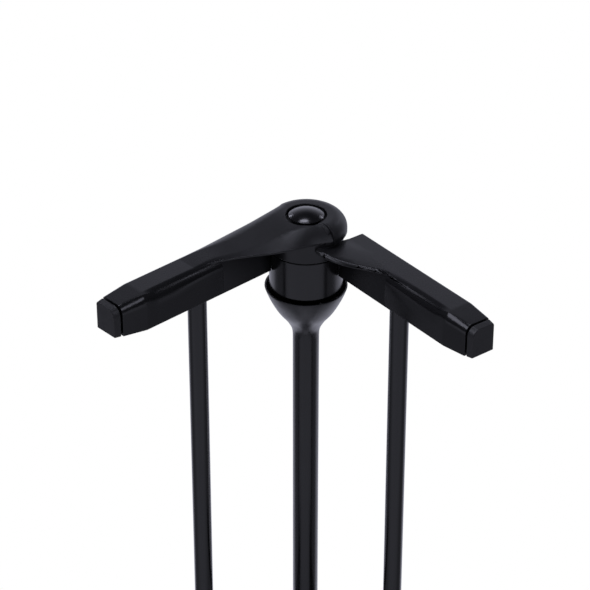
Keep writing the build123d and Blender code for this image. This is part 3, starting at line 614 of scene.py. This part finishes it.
def stop_lug():
    """A small raised lug that bridges the step between the cover and the back of the eye."""
    lug = bmesh.new()
    layers = []
    for lift in (STOP_HIGH, -STOP_DEEP):
        rows = []
        for row in range(STOP_ROWS + 1):
            radius = STOP_IN + (STOP_OUT - STOP_IN) * row / STOP_ROWS
            spots = []
            for turn in (STOP_FROM_DEGREES, STOP_TO_DEGREES):
                angle = math.radians(turn)
                above = rim + Vector((radius * math.sin(angle), -radius * math.cos(angle), WELL_ABOVE))
                spots.append(eye_surface.ray_cast(above, -UP)[0] + UP * lift)
            shares = [step / STOP_STEPS for step in range(STOP_STEPS + 1)]
            rows.append([lug.verts.new(spots[0].lerp(spots[1], share)) for share in shares])
        layers.append(rows)
    top, sole = layers
    for row in range(STOP_ROWS):
        for step in range(STOP_STEPS):
            for rows in layers:
                near, far = rows[row], rows[row + 1]
                lug.faces.new((near[step], near[step + 1], far[step + 1], far[step]))
    ring = [(0, s) for s in range(STOP_STEPS)] + [(r, STOP_STEPS) for r in range(STOP_ROWS)]
    ring += [(STOP_ROWS, s) for s in range(STOP_STEPS, 0, -1)] + [(r, 0) for r in range(STOP_ROWS, 0, -1)]
    for (a, b), (c, d) in zip(ring, ring[1:] + ring[:1]):
        lug.faces.new((top[a][b], top[c][d], sole[c][d], sole[a][b]))
    bmesh.ops.recalc_face_normals(lug, faces=lug.faces)
    softened(lug, STOP_ROUND, CASTING_CRISP)
    return lug


lug = link_mesh("left_arm_stop_lug", to_mesh(stop_lug(), "left_arm_stop_lug"), cast_black)
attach(lug, BODY_OF["left_arm"])


# Push button: a moulded dome with a polished face, loose in the eye's round recess, with a thin dark
# gap all round it.

def polished_black():
    finish, tree, shader, where = new_finish("polished_black")
    haze = noise(tree, where, 160.0, 3.0)
    shade = two_tone(tree, haze, (0.004, 0.004, 0.0045), (0.007, 0.007, 0.0075))
    surface(tree, shader, shade, spread(tree, haze, 0.17, 0.21))
    return finish


dress("push_button", polished_black(), round_by=0.0004)


# End pieces: a flat slide that pulls out of each arm's nose, with a moulded cap on its outer end in
# line with the arm.

for side in ("left", "right"):
    repaint(f"{side}_slide", cast_black)
    dress(f"{side}_end_cap", plastic, round_by=0.0004)


# Studio: a pale sweep that turns to plain white away from the stand, two broad soft lights high at the
# sides, a slim one overhead, two small ones behind, and the camera at the photograph's angle on the head.

PITCH, TURN = math.radians(32.0), math.radians(4.75)
PICTURE_SIDE, FOCAL_PIXELS, SENSOR = 590.0, 2531.0, 36.0
PIXEL = 0.000674
HEAD_RIGHT_OF_MIDDLE, HEAD_ABOVE_MIDDLE = 11.05, 11.3
back = Vector((math.sin(TURN) * math.cos(PITCH), -math.cos(TURN) * math.cos(PITCH), math.sin(PITCH)))
across = Vector((math.cos(TURN), math.sin(TURN), 0.0))
upward = back.cross(across)
lens = bpy.data.cameras.new("photo_camera")
lens.sensor_width = SENSOR
lens.lens = FOCAL_PIXELS / PICTURE_SIDE * SENSOR
camera = bpy.data.objects.new("photo_camera", lens)
bpy.context.scene.collection.objects.link(camera)
aim = rim - across * HEAD_RIGHT_OF_MIDDLE * PIXEL - upward * HEAD_ABOVE_MIDDLE * PIXEL
camera.location = aim + back * FOCAL_PIXELS * PIXEL
camera.rotation_euler = back.to_track_quat("Z", "Y").to_euler()
bpy.context.scene.camera = camera


COOL = (0.93, 0.94, 1.12)


def sweep_finish():
    """Pale floor that keeps the stand's shadow near it and is plain white further off. In the gloss
    of the stand it is a painted glow, not a lit surface: white close by and behind, dimmer in front and dim at the
    sides."""
    finish, tree, shader, where = new_finish("studio_sweep")
    reach = put(tree, "ShaderNodeVectorMath", {0: where}, operation="LENGTH").outputs["Value"]
    away = spread(tree, reach, 0.5, 1.0, 0.35, 0.9)
    place = put(tree, "ShaderNodeSeparateXYZ", {0: where}).outputs
    # Painted reflection: how brightly the floor glows in the stand's gloss, strongest close by and behind, weaker
    # far in front, dim at the sides.
    close = spread(tree, reach, 0.55, 0.0, 0.05, 0.8)
    aside = put(tree, "ShaderNodeMath", {0: place["X"]}, operation="ABSOLUTE").outputs[0]
    bearing = combined(tree, "DIVIDE", combined(tree, "SUBTRACT", place["Y"], rim.y), aside)
    fading = spread(tree, reach, 1.0, 0.55, 0.5, 1.5)
    rear = combined(tree, "MULTIPLY", spread(tree, bearing, 0.0, 1.0, 0.22, 0.48), fading)
    front = spread(tree, place["Y"], 0.36, 0.0, -0.9, -0.3)
    painted_glow = combined(tree, "MAXIMUM", front, combined(tree, "MAXIMUM", close, rear))
    path = put(tree, "ShaderNodeLightPath").outputs
    mirrored = combined(tree, "MAXIMUM", path["Is Glossy Ray"], path["Is Transmission Ray"])
    seen = combined(tree, "MULTIPLY", path["Is Camera Ray"], away)
    plain = combined(tree, "MAXIMUM", seen, mirrored)
    in_gloss = spread(tree, painted_glow, 0.2, 1.1, 0.0, 1.0)
    glow = put(tree, "ShaderNodeMix", {0: mirrored, 2: 1.0, 3: in_gloss}).outputs[0]
    paper = two_tone(tree, noise(tree, where, 240.0), (0.62, 0.62, 0.62), (0.65, 0.65, 0.65))
    tree.links.new(paper, shader.inputs["Base Color"])
    shader.inputs["Roughness"].default_value = 0.9
    shader.inputs["Specular IOR Level"].default_value = 0.0
    ends = {0: mirrored, 6: (1.0, 1.0, 1.0, 1.0), 7: (*COOL, 1.0)}
    tint = put(tree, "ShaderNodeMix", ends, data_type="RGBA").outputs[2]
    white = put(tree, "ShaderNodeEmission", {"Color": tint, "Strength": glow}).outputs[0]
    both = put(tree, "ShaderNodeMixShader", {0: plain, 1: shader.outputs[0], 2: white}).outputs[0]
    tree.links.new(both, tree.nodes["Material Output"].inputs["Surface"])
    return finish


FLOOR_HALF = 12.0
ground = bpy.data.meshes.new("studio_floor")
corners = [(-1, -1), (1, -1), (1, 1), (-1, 1)]
ground.from_pydata([(x * FLOOR_HALF, y * FLOOR_HALF, 0.0) for x, y in corners], [], [(0, 1, 2, 3)])
link_mesh("studio_floor", ground, sweep_finish())


def soft_light(name, place, target, wide, tall, power):
    lamp = bpy.data.lights.new(name, "AREA")
    lamp.shape = "ELLIPSE"
    lamp.size, lamp.size_y, lamp.energy = wide, tall, power
    lamp.color = COOL
    fixture = bpy.data.objects.new(name, lamp)
    fixture.location = place
    fixture.rotation_euler = (Vector(place) - Vector(target)).to_track_quat("Z", "Y").to_euler()
    bpy.context.scene.collection.objects.link(fixture)


def from_head(azimuth, elevation, distance):
    """A place seen from the head: azimuth 0 is the reader's side and grows to the right."""
    turn, rise = math.radians(azimuth), math.radians(elevation)
    flat = distance * math.cos(rise)
    return rim + Vector((flat * math.sin(turn), -flat * math.cos(turn), distance * math.sin(rise)))


leftward = Vector((-0.18, 0.0, 0.0))
overhead = from_head(180, 84, 1.6) + leftward
soft_light("overhead_light", overhead, rim + leftward, wide=0.7, tall=0.26, power=3.7)
soft_light("left_light", from_head(-66, 44, 2.0), rim, wide=1.4, tall=1.0, power=10.0)
soft_light("right_light", from_head(58, 38, 2.0), rim, wide=1.3, tall=0.65, power=4.5)
soft_light("back_left_light", from_head(-140, 29, 1.8), rim, wide=0.12, tall=0.3, power=0.7)
soft_light("back_right_light", from_head(143, 33, 1.8), rim, wide=0.12, tall=0.3, power=0.7)

studio = bpy.data.worlds.new("studio_air")
bpy.context.scene.world = studio
studio.use_nodes = True
air = studio.node_tree
direction = put(air, "ShaderNodeTexCoord").outputs["Generated"]
part = put(air, "ShaderNodeSeparateXYZ", {0: direction}).outputs
behind = spread(air, part["Y"], 0.0, 1.0, 0.35, 0.85)
fade_up = spread(air, part["Z"], 1.0, 0.0, 0.2, 0.75)
level = spread(air, combined(air, "MULTIPLY", behind, fade_up), 0.07, 0.9, 0.0, 1.0)
plain = put(air, "ShaderNodeLightPath").outputs["Is Camera Ray"]
strength = put(air, "ShaderNodeMix", {0: plain, 2: level, 3: 1.0}).outputs[0]
shades = {0: plain, 6: (*COOL, 1.0), 7: (1.0, 1.0, 1.0, 1.0)}
tint = put(air, "ShaderNodeMix", shades, data_type="RGBA").outputs[2]
air.links.new(strength, air.nodes["Background"].inputs["Strength"])
air.links.new(tint, air.nodes["Background"].inputs["Color"])

bpy.context.scene.view_settings.view_transform = "Standard"
